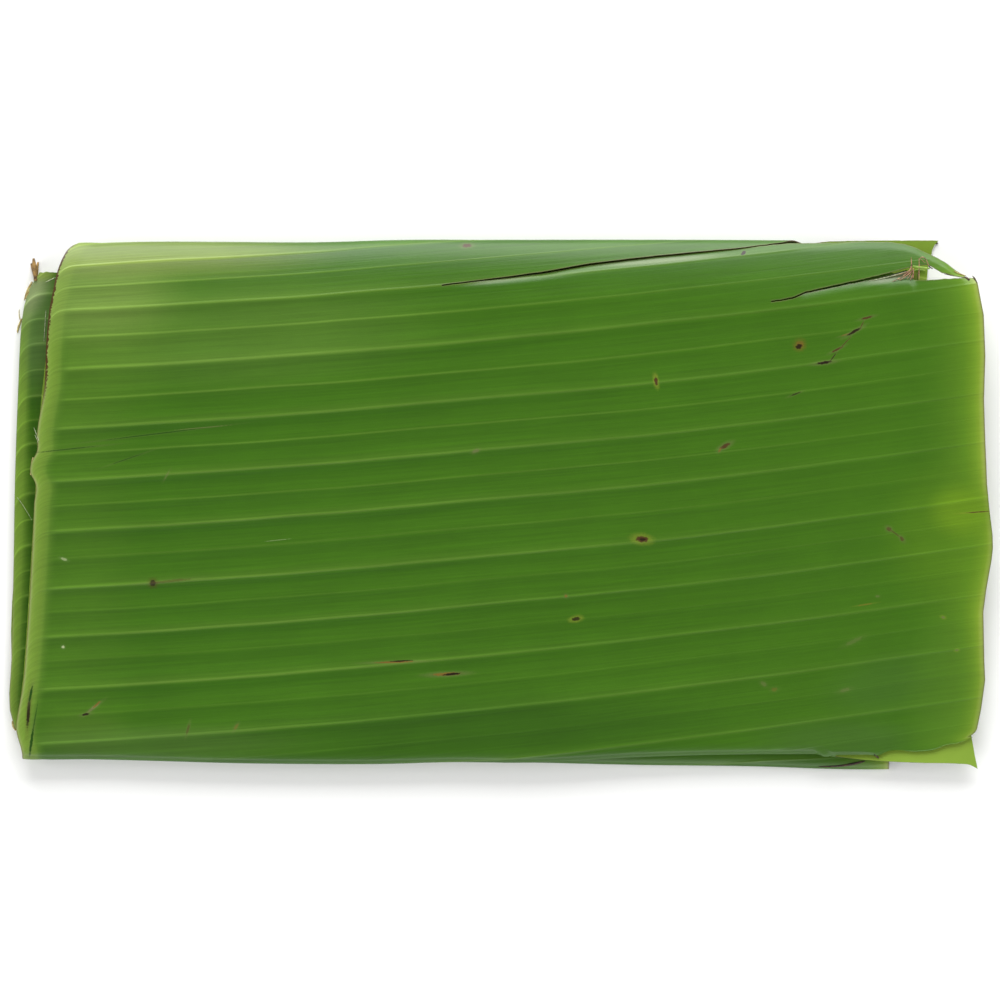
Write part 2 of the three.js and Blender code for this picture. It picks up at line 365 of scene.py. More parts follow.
cutOutline = smoothLine(bladeOutline("Cut"))
stripStart = alongTop(69.29, 1.0)  # past the short tear only a narrower strip goes on to the crown
marginPoints = [p for p in bladeOutline("Margin") if not stripStart < p[0] < crownEnd - 8]
marginPoints += [[stripStart - 0.01, 144.7], [stripStart + 0.01, 141.6]]
marginPoints += [[crownEnd - 9, 141.6], [crownEnd - 8.2, 134.2]]
marginPlaces, marginValues = np.array(sorted(marginPoints)).T


def marginOutline(s):
    return np.interp(s, marginPlaces, marginValues)


# the same without its small turns, which only the last columns follow
underFold, lowerFold = underStart(marginX), lowerFrontStart(marginX)
broadMargin = smoothLine([
    [underFold - 140, 134], [underFold, 143.5], [-50, 146], [60, 146], [crownEnd + 12, 131],
    [lowerFold, 119], [lowerFold + 8, 119], [innerStart(marginX) + 148, 127.6],
])


# the tears, with their lips seen from above as [x, y] pairs
tears = {
    "longStartX": -18.7,
    "shortStartX": 81.4,
    "crossesFoldX": (86, 93),
    "longUpper": [
        [-150, 62.4], [-80, 64.4], [-18.7, 67.2], [-2.4, 69.2], [13.2, 71.3], [26.3, 73.7], [45.3, 75.9],
        [60, 77.35], [72, 78.45], [80, 79.5], [86, 80.3], [95, 80.7],
    ],
    "longLower": [
        [-150, 62.0], [-80, 64.0], [-18.7, 66.8], [-2.4, 68.8], [13.2, 70.7], [26.3, 73.0], [45.3, 75.4],
        [60, 76.9], [72, 78.1], [80, 79.2], [88, 80.0], [109.5, 80.3], [118.7, 80.1], [123.3, 79.4],
        [126.4, 78.5], [129.4, 77.0], [132.5, 75.6], [135.6, 73.9], [138.6, 71.6], [141.8, 69.7],
    ],
    "shortUpper": [
        [-150, 54.0], [0, 58.0], [60, 61.0], [81.4, 62.2], [85, 62.6], [89, 63.5], [93, 65.2], [102, 67.2],
        [110.8, 69.0], [118, 70.7], [123.9, 72.3], [125.8, 72.6], [128.5, 73.2], [130.4, 73.3],
        [132.2, 72.2], [134.3, 70.9], [136.5, 70.4], [138.6, 69.7], [141.8, 69.35],
    ],
    "shortLower": [
        [-150, 53.6], [0, 57.6], [60, 60.6], [81.4, 61.8], [85, 62.2], [89, 63.0], [93, 64.6], [102, 66.5],
        [110.8, 68.3], [118, 70.0], [123.9, 71.6], [125.3, 72.0], [125.8, 68.5], [130.4, 68.6],
        [137.7, 69.1], [150, 69.5],
    ],
    "crease": [[88, 63.0], [102, 66.0], [110.8, 67.6], [125.3, 68.2]],
    "lipDip": 0.9,
    "bendDip": 0.75,
}


def lipLine(name):
    xs, ys = np.array(tears[name]).T
    return lambda x: alongTop(np.interp(x, xs, ys), spineOpen(x) if name != "longUpper" else 0.0)


longLower, shortUpper, shortLower = (lipLine(n) for n in ("longLower", "shortUpper", "shortLower"))
longUpperSeen = lipLine("longUpper")


def longUpper(x):
    # past the place where the tear crosses the big fold its upper lip is the bottom sheet's free edge
    start, end = tears["crossesFoldX"]
    return mix(longUpperSeen(x), crownEnd - 7.9, smoothStep(start, end, x))


def longMiddle(x):
    return (longLower(x) + longUpper(x)) / 2


def fray(places, size, step, seed):
    # small torn irregularities along an edge
    values = []
    for v in np.ravel(places):
        coarse = noise.noise(Vector((v / step, seed, 0)))
        values.append(coarse + 0.5 * noise.noise(Vector((v / step * 2.7, seed, 9))))
    return size * np.reshape(values, np.shape(places))


# columns of the blade's mesh: up to this far from the cut edge, in this many cells
columnPlan = [(12, 20), (228, 66), (291, 62), (300, 16)]


def sheetEnd(start, frontLineY, endY, size, seed):
    # the blade's free end beyond a front fold, slightly frayed
    return lambda x: start(x) + np.sign(seed) * (endY - frontLineY(x)) + fray(x, size, 2.7, seed)


def frayedStrip(x):
    # the upper lip of the short tear, most frayed where the strip ends
    return shortUpper(x) + fray(x, 0.15, 1.7, 3) - fray(x, 0.3, 1.1, 4) * smoothStep(126, 131, x)


# lines across the blade that its rows follow: the cells up to each, and the x past which those are torn away
rowGuides = [
    (sheetEnd(underStart, underFrontY, folds["underEndY"], 0.4, -1), 0, None),
    (underStart, 18, None),
    (lambda x: frontEdge(x) - 0.3 * frontUnder.length, 5, None),
    (lambda x: frontEdge(x) + 0.3 * frontTop.length, 1, folds["frontTornX"]),
    (topFrontY, 7, None),
    (lambda x: np.full_like(x, 44), 130, None),
    (lambda x: shortLower(x) + fray(x, 0.15, 1.7, 3), 18, None),
    (frayedStrip, 1, tears["shortStartX"]),
    (lambda x: longLower(x) + fray(x, 0.1, 2.1, 5), 14, None),
    (lambda x: longUpper(x) + fray(x, 0.1, 2.1, 5), 1, tears["longStartX"]),
    (lambda x: np.full_like(x, crownEnd + 2), 24, None),
    (lowerFrontStart, 16, None),
    (lowerFrontEdge, 5, None),
    (innerStart, 6, None),
    (sheetEnd(innerStart, innerFrontY, folds["innerEndY"], 0.4, 1), 28, None),
]
# guide before, share of the way to the next, and the x past which the cell after this row is torn away
rowSteps = []
for before, (_, cells, tornX) in enumerate(rowGuides[1:]):
    rowSteps += [(before, i / cells, tornX) for i in range(cells)]
rowSteps.append((len(rowGuides) - 2, 1, None))


def columnShares():
    ends, start = [np.array([0.0])], 0
    for end, cells in columnPlan:
        ends.append(np.linspace(start, end, cells + 1)[1:])
        start = end
    return np.concatenate(ends) / columnPlan[-1][0]


def layOutBlade():
    # x and place along the unfolded blade of every vertex, rows by columns
    shares = columnShares()
    xs, places = [], []
    for before, share, _ in rowSteps:
        low, high = rowGuides[before][0], rowGuides[before + 1][0]
        x = mix(cutX, marginX, shares)
        for settle in range(4):
            place = mix(low(x), high(x), share)
            x = mix(cutOutline(place), broadMargin(place), shares)
            x = x + (marginOutline(place) - broadMargin(place)) * smoothStep(0.91, 1, shares)
        xs.append(x)
        places.append(place)
    return np.array(xs), np.array(places)


veins = {
    "spacing": 8.1,
    # where veins leave the midrib, strong and weak by turns: on the top sheet and on the inner one
    "topPlaces": [
        -72.7, -64.3, -56.1, -47.6, -40.2, -32.6, -25.4, -16.2, -7.8, -0.2, 7.6, 15.8, 23.5, 32.3, 41.5, 51.2,
        59.6, 66.9, 73.8,
    ],
    "innerPlaces": [-26.8, -19.2, -11.5, -3.6, 4.4, 12.0, 19.7, 26.9, 34.1, 42.2, 50.3, 57.8, 65.3],
    "slope": 0.0522,
    "bend": 1.775e-4,
    "spread": 0.0011,  # veins near the front rise a little more than those at the back
    "hook": 4.2,
    "hookRun": 1.5,
}


def veinPlaces():
    # every vein along the whole blade, the two known stretches joined by even ones
    inner = innerStart(cutX) - innerFrontY(cutX)
    top = veins["topPlaces"]
    bottom = [inner + y for y in veins["innerPlaces"]]
    step = veins["spacing"]
    cells = 2 * round((bottom[0] - top[-1]) / step / 2)
    between = list(np.linspace(top[-1], bottom[0], cells + 1)[1:-1])
    low = [top[0] - step * n for n in range(32, 0, -1)]
    high = [bottom[-1] + step * n for n in range(1, 11)]
    return low + top + between + bottom + high


veinLevels = veinPlaces()


def veinNumber(x, place, cut):
    # whole numbers on strong veins, halves on the weak ones between them
    run = x - (cutX + 18)
    rise = veins["slope"] * run + veins["bend"] * run**2 * np.sign(run)
    rise *= 1 - veins["spread"] * np.clip(place, -80, 80)
    drift = 0.9 * smoothStep(-10, 60, x) * smoothStep(-50, -20, place) * smoothStep(55, 30, place)
    level = place - rise + drift + veins["hook"] * np.exp(-cut / veins["hookRun"])
    return np.interp(level, veinLevels, np.arange(len(veinLevels)) / 2)


def display(red, green, blue):
    # a colour given as 0 to 255 on a display, as the shader's own numbers
    linear = [v / 255 / 12.92 if v < 10.3 else ((v / 255 + 0.055) / 1.055) ** 2.4 for v in (red, green, blue)]
    return (*linear, 1)


onTop = {"light": 1.36, "shine": 0.0102}  # what the studio gives a flat glossy sheet


def seen(red, green, blue):
    # the finish that looks so on the top sheet, in the studio's light
    return (*(max(v - onTop["shine"], 0.0008) / onTop["light"] for v in display(red, green, blue)[:3]), 1)


def addNode(tree, kind, inputs=None, **settings):
    node = tree.nodes.new(kind)
    for name, value in settings.items():
        setattr(node, name, value)
    for name, value in (inputs or {}).items():
        if isinstance(value, bpy.types.NodeSocket):
            tree.links.new(value, node.inputs[name])
        else:
            node.inputs[name].default_value = value
    return node


def calc(tree, operation, first, second=0.0, third=0.0, clamp=False):
    inputs = {0: first, 1: second}
    if operation == "MULTIPLY_ADD":
        inputs[2] = third
    return addNode(tree, "ShaderNodeMath", inputs, operation=operation, use_clamp=clamp).outputs[0]


def remap(tree, value, fromLow, fromHigh, toLow=0.0, toHigh=1.0):
    inputs = {0: value, 1: fromLow, 2: fromHigh, 3: toLow, 4: toHigh}
    return addNode(tree, "ShaderNodeMapRange", inputs, interpolation_type="SMOOTHSTEP").outputs[0]


def ramp(tree, value, stops):
    node = addNode(tree, "ShaderNodeValToRGB", {0: value})
    line = node.color_ramp
    line.elements[0].position, line.elements[0].color = stops[0]
    line.elements[1].position, line.elements[1].color = stops[-1]
    for place, colour in stops[1:-1]:
        line.elements.new(place).color = colour
    return node.outputs[0]


def blendColour(tree, share, low, high):
    return addNode(tree, "ShaderNodeMix", {0: share, 6: low, 7: high}, data_type="RGBA").outputs[2]


def scaled(tree, colour, factor):
    # a colour made lighter or darker
    inputs = {0: colour, "Scale": factor}
    return addNode(tree, "ShaderNodeVectorMath", inputs, operation="SCALE").outputs[0]


def joined(tree, across, along):
    # two distances as one place
    return addNode(tree, "ShaderNodeCombineXYZ", {0: across, 1: along}).outputs[0]


def specksAt(tree, place, scale, detail, roughness=0.5):
    inputs = {"Vector": place, "Scale": scale, "Detail": detail, "Roughness": roughness}
    return addNode(tree, "ShaderNodeTexNoise", inputs).outputs[0]


def newFinish(name):
    material = bpy.data.materials.new(name)
    material.use_nodes = True
    return material, material.node_tree, material.node_tree.nodes["Principled BSDF"].inputs


def addBump(tree, surface, height, strength, distance=0.0001):
    inputs = {"Height": height, "Strength": strength, "Distance": distance}
    tree.links.new(addNode(tree, "ShaderNodeBump", inputs).outputs[0], surface["Normal"])


def pointValue(tree, name):
    return addNode(tree, "ShaderNodeAttribute", attribute_name=name).outputs["Fac"]


def newGroup(name, inputs, outputs):
    # inputs are {name: start value}, and outputs are names
    group = bpy.data.node_groups.new(name, "ShaderNodeTree")
    for label, value in inputs.items():
        socket = group.interface.new_socket(label, in_out="INPUT", socket_type="NodeSocketFloat")
        socket.default_value = value
    for label in outputs:
        group.interface.new_socket(label, in_out="OUTPUT", socket_type="NodeSocketFloat")
    return group, group.nodes.new("NodeGroupInput").outputs, group.nodes.new("NodeGroupOutput").inputs


def useGroup(tree, group, **inputs):
    return addNode(tree, "ShaderNodeGroup", inputs, node_tree=group).outputs


def grays(*stops):
    # stops of a ramp from black to white
    return [(place, (value, value, value, 1)) for place, value in stops]


def makeVeinGroup():
    # painted light and shade of the corrugated blade from vein to vein, and the fine lines between
    given = {"vein": 0.0, "across": 0.0, "weak": 1.0}
    tree, given, out = newGroup("veinLinesAndShade", given, ("shade", "ridge", "fine"))
    slow = joined(tree, calc(tree, "MULTIPLY", given["across"], 0.03), given["vein"])
    wander = specksAt(tree, slow, 0.9, 1.0)
    vein = calc(tree, "MULTIPLY_ADD", calc(tree, "SUBTRACT", wander, 0.5), 0.035, given["vein"])
    below = calc(tree, "FRACT", calc(tree, "MULTIPLY", vein, -1.0))
    # painted shade from a strong vein down to the weak one, and on to the next strong one
    toWeak = [
        (0, 1.0), (0.03, 0.84), (0.06, 0.38), (0.09, 0.12), (0.13, 0.03), (0.2, 0), (0.31, 0.02),
        (0.37, 0.06), (0.5, 0.13), (0.62, 0.18), (0.74, 0.22), (0.85, 0.24), (0.935, 0.25), (0.97, 0.26),
    ]
    toStrong = [
        (0, 0.26), (0.03, 0.2), (0.06, 0.14), (0.09, 0.1), (0.2, 0.1), (0.37, 0.15), (0.5, 0.19),
        (0.62, 0.23), (0.74, 0.29), (0.85, 0.4), (0.9, 0.46), (0.935, 0.56), (0.97, 0.85), (1, 1),
    ]
    stops = [(place / 2, value) for place, value in toWeak]
    stops += [(0.5 + place / 2, value) for place, value in toStrong]
    weakLine = ramp(tree, below, grays((0.47, 0), (0.485, 0.24), (0.5, 0.56), (0.512, 0.44), (0.53, 0)))
    shade = calc(tree, "MULTIPLY_ADD", weakLine, given["weak"], ramp(tree, below, grays(*stops)))
    tree.links.new(shade, out["shade"])
    ridges = grays((0, 1), (0.035, 0), (0.48, 0), (0.5, 0.35), (0.52, 0), (0.97, 0), (1, 1))
    tree.links.new(ramp(tree, below, ridges), out["ridge"])
    lines = joined(tree, calc(tree, "MULTIPLY", given["across"], 0.014), calc(tree, "MULTIPLY", vein, 11.0))
    tree.links.new(specksAt(tree, lines, 1.6, 3.0, 0.65), out["fine"])
    return tree


def makeMottleGroup():
    # slow unevenness of the green
    tree, given, out = newGroup("mottle", {"across": 0.0, "along": 0.0, "strength": 0.1}, ["tone"])
    place = joined(tree, given["across"], given["along"])
    both = calc(tree, "MULTIPLY_ADD", specksAt(tree, place, 0.3, 3.0), 0.4, specksAt(tree, place, 0.045, 2.0))
    tone = calc(tree, "MULTIPLY_ADD", calc(tree, "SUBTRACT", both, 0.7), given["strength"], 1.0)
    tree.links.new(tone, out["tone"])
    return tree


def makeSpotGroup():
    # one ragged oval mark, and the soft halo round it
    given = {"across": 0.0, "along": 0.0, "grain": 0.5, "atX": 0.0, "atY": 0.0}
    given.update({"long": 1.0, "wide": 1.0, "turn": 0.0, "ragged": 1.0})
    tree, given, out = newGroup("spot", given, ("mark", "halo"))
    dx = calc(tree, "SUBTRACT", given["across"], given["atX"])
    dy = calc(tree, "SUBTRACT", given["along"], given["atY"])
    cosine, sine = calc(tree, "COSINE", given["turn"]), calc(tree, "SINE", given["turn"])
    u = calc(tree, "ADD", calc(tree, "MULTIPLY", dx, cosine), calc(tree, "MULTIPLY", dy, sine))
    v = calc(tree, "SUBTRACT", calc(tree, "MULTIPLY", dy, cosine), calc(tree, "MULTIPLY", dx, sine))
    u, v = calc(tree, "DIVIDE", u, given["long"]), calc(tree, "DIVIDE", v, given["wide"])
    away = calc(tree, "SQRT", calc(tree, "ADD", calc(tree, "MULTIPLY", u, u), calc(tree, "MULTIPLY", v, v)))
    away = calc(tree, "MULTIPLY_ADD", calc(tree, "SUBTRACT", given["grain"], 0.5), given["ragged"], away)
    tree.links.new(remap(tree, away, 0.65, 1.1, 1, 0), out["mark"])
    tree.links.new(remap(tree, away, 0.6, 2.4, 1, 0), out["halo"])
    return tree


veinLinesAndShade = makeVeinGroup()
mottle = makeMottleGroup()
spot = makeSpotGroup()

greens = {
    # painted shade of the corrugation, from the dark foot of a vein to the vein's own pale line
    "veinAndShadeTones": [
        (0, seen(61, 104, 29)), (0.13, seen(66, 109, 31)), (0.25, seen(70, 114, 32)),
        (0.42, seen(77, 118, 37)), (0.55, seen(81, 122, 39)), (0.66, seen(86, 126, 42)),
        (0.84, seen(93, 132, 47)), (1, seen(99, 135, 51)),
    ],
    "even": seen(71, 115, 31),
    "evenGray": 0.098,
    "weakFades": (-45, 45, 0.2, 1.15),  # the weak veins fade towards the front
    "contrastFades": (-110, 130, 1.0, 0.4),  # towards the margin the veins hardly show
    "fineFades": (50, 135, 0.55, 0.3),
    # by distance from the natural margin, as shares of marginReach
    "marginReach": 26,
    "margin": [
        (0, seen(100, 92, 52)), (0.016, seen(150, 166, 84)), (0.04, seen(150, 174, 72)),
        (0.07, seen(130, 162, 52)), (0.12, seen(115, 153, 46)), (0.18, seen(104, 143, 41)),
        (0.25, seen(94, 136, 39)), (0.36, seen(87, 128, 37)), (0.55, seen(80, 123, 35)),
        (1, seen(71, 116, 31)),
    ],
    # by distance from the cut edge, as shares of cutReach
    "cutReach": 8,
    "cut": [
        (0, seen(120, 112, 70)), (0.04, seen(150, 168, 98)), (0.12, seen(130, 160, 68)),
        (0.25, seen(120, 153, 60)), (0.42, seen(113, 145, 56)), (0.56, seen(105, 140, 53)),
        (0.66, seen(92, 129, 46)), (0.8, seen(86, 124, 44)), (1, seen(82, 120, 41)),
    ],
    # the underside's own yellow-green, set by the painted vein shade, and painted lighter than its own colour
    # to make up for the shade of the top sheet over it
    "dull": [(0, seen(134, 166, 55)), (0.5, seen(146, 178, 63)), (1, seen(174, 202, 88))],
}

browns = {
    "dark": seen(46, 36, 24),
    "brown": seen(84, 62, 38),
    "orange": seen(128, 98, 46),
    "yellow": seen(146, 158, 58),
    "dusty": seen(112, 122, 72),
    "pale": seen(176, 190, 140),
    "crease": seen(44, 80, 24),
}
# each row: x, y, half length, half width, turn in degrees, then a colour and its strength
patches = {
    # slow changes of tone, by the even green there, some of them painted sheen and shade
    "tones": [
        (-80, 54, 64, 20, 3, seen(120, 154, 70), 0.3),  # painted sheen along the big fold
        (-134, 56, 34, 40, 0, seen(116, 152, 58), 0.32),
        (-134, -20, 24, 74, 0, seen(88, 129, 42), 0.45),
        (-128, -70, 16, 8, 0, seen(92, 128, 46), 0.5),
        (-2, -69, 86, 11, 3, seen(58, 98, 30), 0.7),  # painted shade along the front
        (30, -34, 60, 16, 5, seen(64, 108, 26), 0.3),
        (112, 20, 20, 60, 0, seen(76, 122, 32), 0.35),
        (118, -55, 22, 10, 10, seen(76, 116, 46), 0.5),
        # this and the next: greyer, painted sheen where the top sheet turns down at the front
        (-108, -73, 50, 6, 0, seen(84, 118, 52), 0.6),
        (105, -72, 30, 7, 0, seen(76, 113, 48), 0.6),
    ],
    "edgeTones": [  # the same near the edges and tears
        (136, -10, 20, 24, 0, seen(98, 140, 36), 0.5),  # thin and light behind the nick
        (141, -2, 11, 9, 0, seen(116, 156, 38), 0.8),
        (136, -58, 14, 26, 0, seen(89, 132, 43), 0.5),
        (119, 69.4, 8, 1.6, 12, seen(134, 144, 112), 0.75),  # greyish painted sheen where the tears' lips curl down
        (48, 74.7, 22, 1.1, 5, seen(148, 162, 124), 0.6),
        (0, 68.6, 13, 0.8, 8, seen(120, 138, 92), 0.5),
        # this and the next: painted sheen on the rounding of the big fold
        (-127, 66, 30, 18, 0, seen(140, 168, 84), 0.5),
        (-108, 78, 56, 9, 0, seen(156, 172, 84), 0.5),
    ],
    "innerTones": [  # and on the inner sheet, with its own y
        # painted highlight where the inner sheet's end bends over
        (-146, 66, 7, 12, -25, seen(190, 202, 148), 0.95),
        (-144, 56, 12, 24, 0, seen(110, 140, 80), 0.55),
        (-142, 71, 6, 2.5, 0, seen(150, 176, 72), 0.7),
        (-148.2, 14, 4, 60, 0, seen(126, 166, 58), 0.6),
    ],
    # marks on the top sheet, each with its halo's colour and strength last
    "marks": [
        (47.1, 37.8, 1.3, 0.42, 100, "brown", 1.0, "yellow", 0.55),
        (91.1, 49.0, 1.0, 0.9, 20, "orange", 0.5, "orange", 0.35),
        (90.8, 48.3, 0.9, 0.65, 20, "dark", 0.95, "orange", 0.3),
        (98.6, 43.4, 2.3, 0.36, 8, "dark", 1.0, "dusty", 0.5),
        (101.3, 45.1, 1.6, 0.15, 54, "dark", 0.8, "dusty", 0.3),
        (102.5, 47.4, 1.8, 0.25, 27, "brown", 1.0, "dusty", 0.4),
        (105.2, 49.7, 2.0, 0.13, 47, "brown", 0.8, "dusty", 0.3),
        (105.2, 52.0, 1.7, 0.14, 18, "orange", 0.7, "dusty", 0.3),
        (107.7, 52.9, 2.3, 0.34, 30, "dark", 0.95, "dusty", 0.5),
        (110.1, 55.0, 1.3, 0.14, 63, "brown", 0.8, "dusty", 0.3),
        (111.6, 57.1, 1.7, 0.27, 15, "brown", 1.0, "dusty", 0.4),
        (89.7, 33.8, 1.6, 0.2, 22, "dark", 0.75, "dusty", 0.3),
        (68.2, 17.9, 1.6, 0.5, 28, "brown", 0.95, "dusty", 0.5),
        (66.6, 16.6, 0.7, 0.25, 60, "orange", 0.7, "dusty", 0.3),
        (42.8, -10.6, 1.85, 0.8, -6, "brown", 1.0, "yellow", 0.5),
        (43.0, -10.7, 0.9, 0.35, -6, "dark", 0.9, "dark", 0.0),
        (22.6, -35.0, 1.2, 0.5, 12, "dark", 0.9, "yellow", 0.5),
        (19.6, -28.0, 0.45, 0.4, 0, "orange", 0.7, "dusty", 0.3),
        (-32.7, -48.2, 5.6, 0.24, 2, "orange", 0.9, "dusty", 0.45),
        (-31.0, -47.9, 3.4, 0.2, 3, "dark", 0.95, "dark", 0.0),
        (-16.8, -51.9, 4.0, 0.42, 3, "orange", 0.85, "dusty", 0.5),
        (-15.4, -51.9, 2.6, 0.32, 6, "dark", 1.0, "dark", 0.0),
        (-8.0, 16.4, 0.9, 0.4, 25, "dusty", 0.8, "dusty", 0.35),
        (-106.8, -24.0, 0.85, 0.75, 0, "dark", 0.95, "brown", 0.5),
        (-101.4, -23.4, 6.0, 0.32, 6, "brown", 0.45, "dusty", 0.2),
        (-125.0, -62.2, 2.4, 0.34, 38, "dusty", 0.95, "dusty", 0.3),
        (-124.0, -61.2, 1.3, 0.22, 42, "orange", 0.9, "dark", 0.0),
        (-127.4, -64.2, 1.2, 0.3, 10, "dark", 0.95, "dusty", 0.3),
        (-96.1, -68.7, 1.6, 0.3, 75, "brown", 0.5, "dusty", 0.3),
        (-81.4, -68.1, 1.0, 0.35, 60, "orange", 0.4, "dusty", 0.3),
        (-134.3, -43.6, 0.45, 0.35, 0, "pale", 1.0, "pale", 0.1),
        (-134.0, -16.7, 0.9, 0.3, -20, "pale", 0.6, "pale", 0.1),
        (118.4, -7.5, 0.75, 0.5, -30, "brown", 0.75, "dusty", 0.4),
        (120.4, -8.9, 1.8, 0.2, -36, "brown", 0.6, "dusty", 0.2),
        (122.4, -10.5, 0.8, 0.42, -50, "brown", 0.7, "dusty", 0.35),
        (-102.5, 9.0, 1.4, 0.2, 60, "dusty", 0.4, "dusty", 0.2),
        (107.7, -41.8, 2.6, 0.5, 26, "dusty", 0.3, "dusty", 0.12),
        (80.1, -54.9, 0.9, 0.5, -30, "dusty", 0.4, "dusty", 0.15),
        (83.4, -56.6, 0.9, 0.5, 10, "orange", 0.3, "dusty", 0.15),
        (105.0, -56.8, 1.6, 0.45, 15, "dusty", 0.4, "dusty", 0.15),
        (135.0, -34.5, 0.55, 0.3, -20, "dusty", 0.8, "yellow", 0.3),
        (139.2, -44.6, 0.5, 0.3, 10, "dusty", 0.6, "yellow", 0.3),
        (111.2, -30.6, 2.2, 0.14, 9, "orange", 0.5, "yellow", 0.2),
        (115.0, -28.1, 0.6, 0.3, 0, "dusty", 0.5, "dusty", 0.1),
        (-10.7, 79.2, 1.3, 0.6, 5, "brown", 1.0, "dusty", 0.4),
        (73.9, 77.0, 0.8, 0.45, 40, "dark", 1.0, "dusty", 0.15),
        (-133.0, 16.9, 8.5, 0.16, 6, "crease", 0.75, "dusty", 0.25),
        (-106.0, 21.6, 14.0, 0.17, 7, "crease", 0.8, "dusty", 0.2),
        (-92.0, 23.5, 8.0, 0.12, 5, "dusty", 0.6, "dark", 0.0),
        (-114.5, 14.0, 5.0, 0.15, 19, "crease", 0.7, "dusty", 0.2),
        (-144.9, -63.5, 4.6, 0.42, 86, "dark", 0.95, "brown", 0.3),
        (-144.2, -58.0, 2.4, 0.3, 78, "crease", 1.0, "dusty", 0.3),
        (-144.0, -72.5, 4.2, 0.34, 82, "crease", 1.0, "dusty", 0.3),
        (-143.0, -66.0, 5.0, 0.18, 80, "crease", 0.7, "dark", 0.0),
        (145.6, -2.3, 3.4, 0.16, 4, "brown", 0.85, "yellow", 0.4),
        (-68.7, -10.9, 3.8, 0.1, 6, "pale", 0.35, "pale", 0.0),
    ],
    "markLonger": 1.15,
    "markWider": 1.3,
}


def makeGlossySide():
    material, tree, surface = newFinish("glossySide")
    names = ("across", "along", "cut", "margin", "torn")
    across, along, cut, margin, torn = (pointValue(tree, name) for name in names)
    grain = specksAt(tree, joined(tree, across, along), 1.3, 3.0)
    weak = remap(tree, along, *greens["weakFades"])
    lines = useGroup(tree, veinLinesAndShade, vein=pointValue(tree, "vein"), across=across, weak=weak)
    colour = ramp(tree, lines["shade"], greens["veinAndShadeTones"])
    contrast = remap(tree, across, *greens["contrastFades"])
    colour = blendColour(tree, contrast, greens["even"], colour)
    # painted light and shade of the veins, which the tones keep
    plain = addNode(tree, "ShaderNodeRGBToBW", {0: colour}).outputs[0]
    veinLightAndShade = calc(tree, "DIVIDE", plain, greens["evenGray"])

    def spotAt(atX, atY, long, wide, turn, ragged):
        return useGroup(
            tree, spot, across=across, along=along, grain=grain, atX=atX, atY=atY, long=long, wide=wide,
            turn=math.radians(turn), ragged=ragged,
        )

    def tint(colour, rows):
        for atX, atY, long, wide, turn, tone, strength in rows:
            area = spotAt(atX, atY, long / 2, wide / 2, turn, 0.2)["halo"]
            veined = scaled(tree, tone[:3], veinLightAndShade)
            colour = blendColour(tree, calc(tree, "MULTIPLY", area, strength), colour, veined)
        return colour

    colour = tint(colour, patches["tones"])
    toMargin = calc(tree, "DIVIDE", margin, greens["marginReach"], clamp=True)
    nearMargin = remap(tree, toMargin, 0.25, 1.0, 1, 0)
    colour = blendColour(tree, nearMargin, colour, ramp(tree, toMargin, greens["margin"]))

    # the band beside the cut is narrower on the inner sheet
    onInner = remap(tree, along, crownEdge, crownEdge + 1, 1, 1.8)
    toCut = calc(tree, "DIVIDE", calc(tree, "MULTIPLY", cut, onInner), greens["cutReach"], clamp=True)
    nearCut = remap(tree, toCut, 0.5, 1.0, 1, 0)
    colour = blendColour(tree, nearCut, colour, ramp(tree, toCut, greens["cut"]))

    inner = float(innerStart(cutX) - innerFrontY(cutX))
    colour = tint(colour, patches["edgeTones"])
    colour = tint(colour, [(x, y + inner, *rest) for x, y, *rest in patches["innerTones"]])

    # browned teeth along the back half of the cut, and dry lips along the tears
    tooth = calc(tree, "MULTIPLY_ADD", grain, 1.9, calc(tree, "ADD", cut, -0.95))
    browned = calc(tree, "MULTIPLY", remap(tree, tooth, 0.4, 0.75, 1, 0), remap(tree, along, 28, 40, 0, 1))
    browned = calc(tree, "MULTIPLY", browned, remap(tree, along, crownEdge - 4, crownEdge, 1, 0))
    colour = blendColour(tree, browned, colour, browns["brown"])
    nearLip = calc(tree, "ADD", torn, calc(tree, "MULTIPLY", grain, 0.3))
    dry = calc(tree, "MULTIPLY", remap(tree, nearLip, 0.2, 0.6, 1, 0), 0.7)
    colour = blendColour(tree, dry, colour, browns["dusty"])

    for atX, y, long, wide, turn, kind, strength, haloKind, haloStrength in patches["marks"]:
        atY = float(alongTop(np.float64(y), spineOpen(atX)))
        mark = spotAt(atX, atY, patches["markLonger"] * long, patches["markWider"] * wide, turn, 1.1)
        if haloStrength:
            halo = calc(tree, "MULTIPLY", mark["halo"], haloStrength)
            colour = blendColour(tree, halo, colour, browns[haloKind])
        colour = blendColour(tree, calc(tree, "MULTIPLY", mark["mark"], strength), colour, browns[kind])

    tone = useGroup(tree, mottle, across=across, along=along, strength=0.2)["tone"]
    fineDepth = remap(tree, across, *greens["fineFades"])
    fine = calc(tree, "MULTIPLY_ADD", calc(tree, "SUBTRACT", lines["fine"], 0.5), fineDepth, 1.0)
    tone = calc(tree, "MULTIPLY", tone, fine)
    tree.links.new(scaled(tree, colour, tone), surface["Base Color"])
    surface["Specular IOR Level"].default_value = 0.35
    rough = calc(tree, "MULTIPLY_ADD", calc(tree, "SUBTRACT", grain, 0.5), 0.12, 0.37)
    tree.links.new(rough, surface["Roughness"])
    addBump(tree, surface, calc(tree, "MULTIPLY_ADD", lines["fine"], 0.8, lines["ridge"]), 0.6)
    return material


